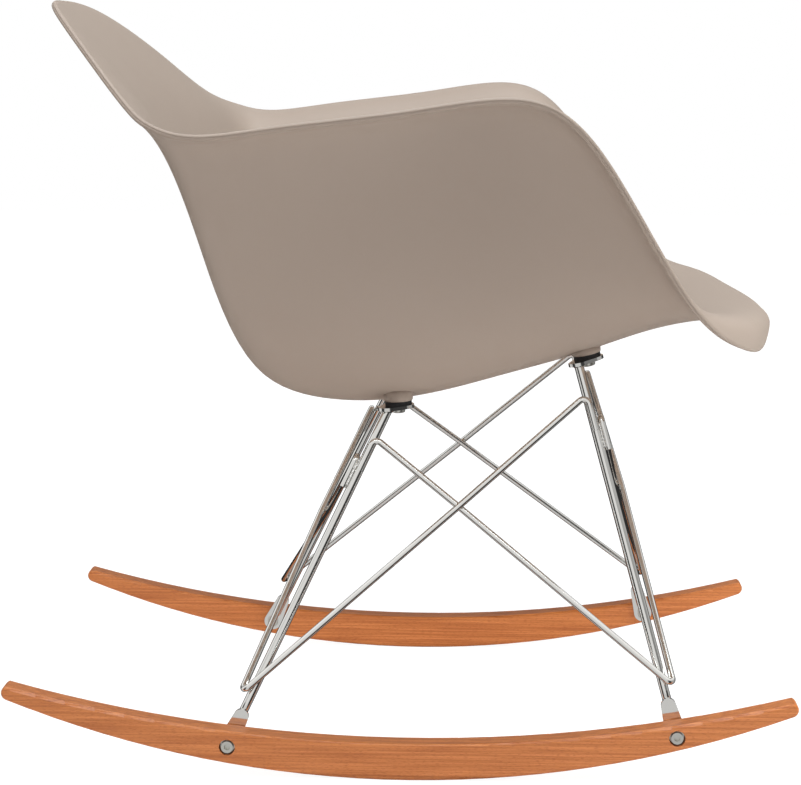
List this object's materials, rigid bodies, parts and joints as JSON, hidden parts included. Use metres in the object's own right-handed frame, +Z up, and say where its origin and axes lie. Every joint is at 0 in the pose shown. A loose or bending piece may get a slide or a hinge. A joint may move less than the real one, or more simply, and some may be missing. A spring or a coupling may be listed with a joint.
{
  "type": "rocking chair",
  "caption": "Moulded plastic armchair shell on a braced wire base with two curved wooden rockers; seats one person and rocks forwards and backwards.",
  "frame": {"origin": "on the floor, in the middle plane, at the middle of the rockers' length", "axes": "+X towards the front of the chair, +Y towards the sitter's left, +Z up"},
  "size_m": [0.69, 0.6206, 0.6691],
  "materials": {
    "shell_plastic": "moulded polypropylene, fine satin-matte grain",
    "beech": "clear-lacquered beech, grain along the length",
    "chromed_steel": "bright chrome plate",
    "black_rubber": "dull black rubber",
    "insert_brass": "turned brass",
    "fastener_steel": "zinc-plated steel"
  },
  "bodies": {
    "root": {"seat_shell": "shell_plastic", "shock_mount_rear_right": "black_rubber", "mount_tab_rear_right": "chromed_steel", "leg_rear_right": "chromed_steel", "foot_plate_rear_right": "chromed_steel", "brace_wire_rear_right": "chromed_steel", "shock_mount_rear_left": "black_rubber", "mount_tab_rear_left": "chromed_steel", "leg_rear_left": "chromed_steel", "foot_plate_rear_left": "chromed_steel", "brace_wire_rear_left": "chromed_steel", "shock_mount_front_right": "black_rubber", "mount_tab_front_right": "chromed_steel", "leg_front_right": "chromed_steel", "foot_plate_front_right": "chromed_steel", "brace_wire_front_right": "chromed_steel", "shock_mount_front_left": "black_rubber", "mount_tab_front_left": "chromed_steel", "leg_front_left": "chromed_steel", "foot_plate_front_left": "chromed_steel", "brace_wire_front_left": "chromed_steel", "rocker_right": "beech", "rocker_left": "beech", "seat_inserts": "insert_brass", "seat_washers": "fastener_steel", "seat_bolts": "fastener_steel", "rocker_bolts": "fastener_steel", "rocker_washers": "fastener_steel", "rocker_nuts": "fastener_steel", "weld_beads_tails": "chromed_steel", "weld_beads_tabs": "chromed_steel", "weld_beads_feet": "chromed_steel"}
  },
  "joints": []
}
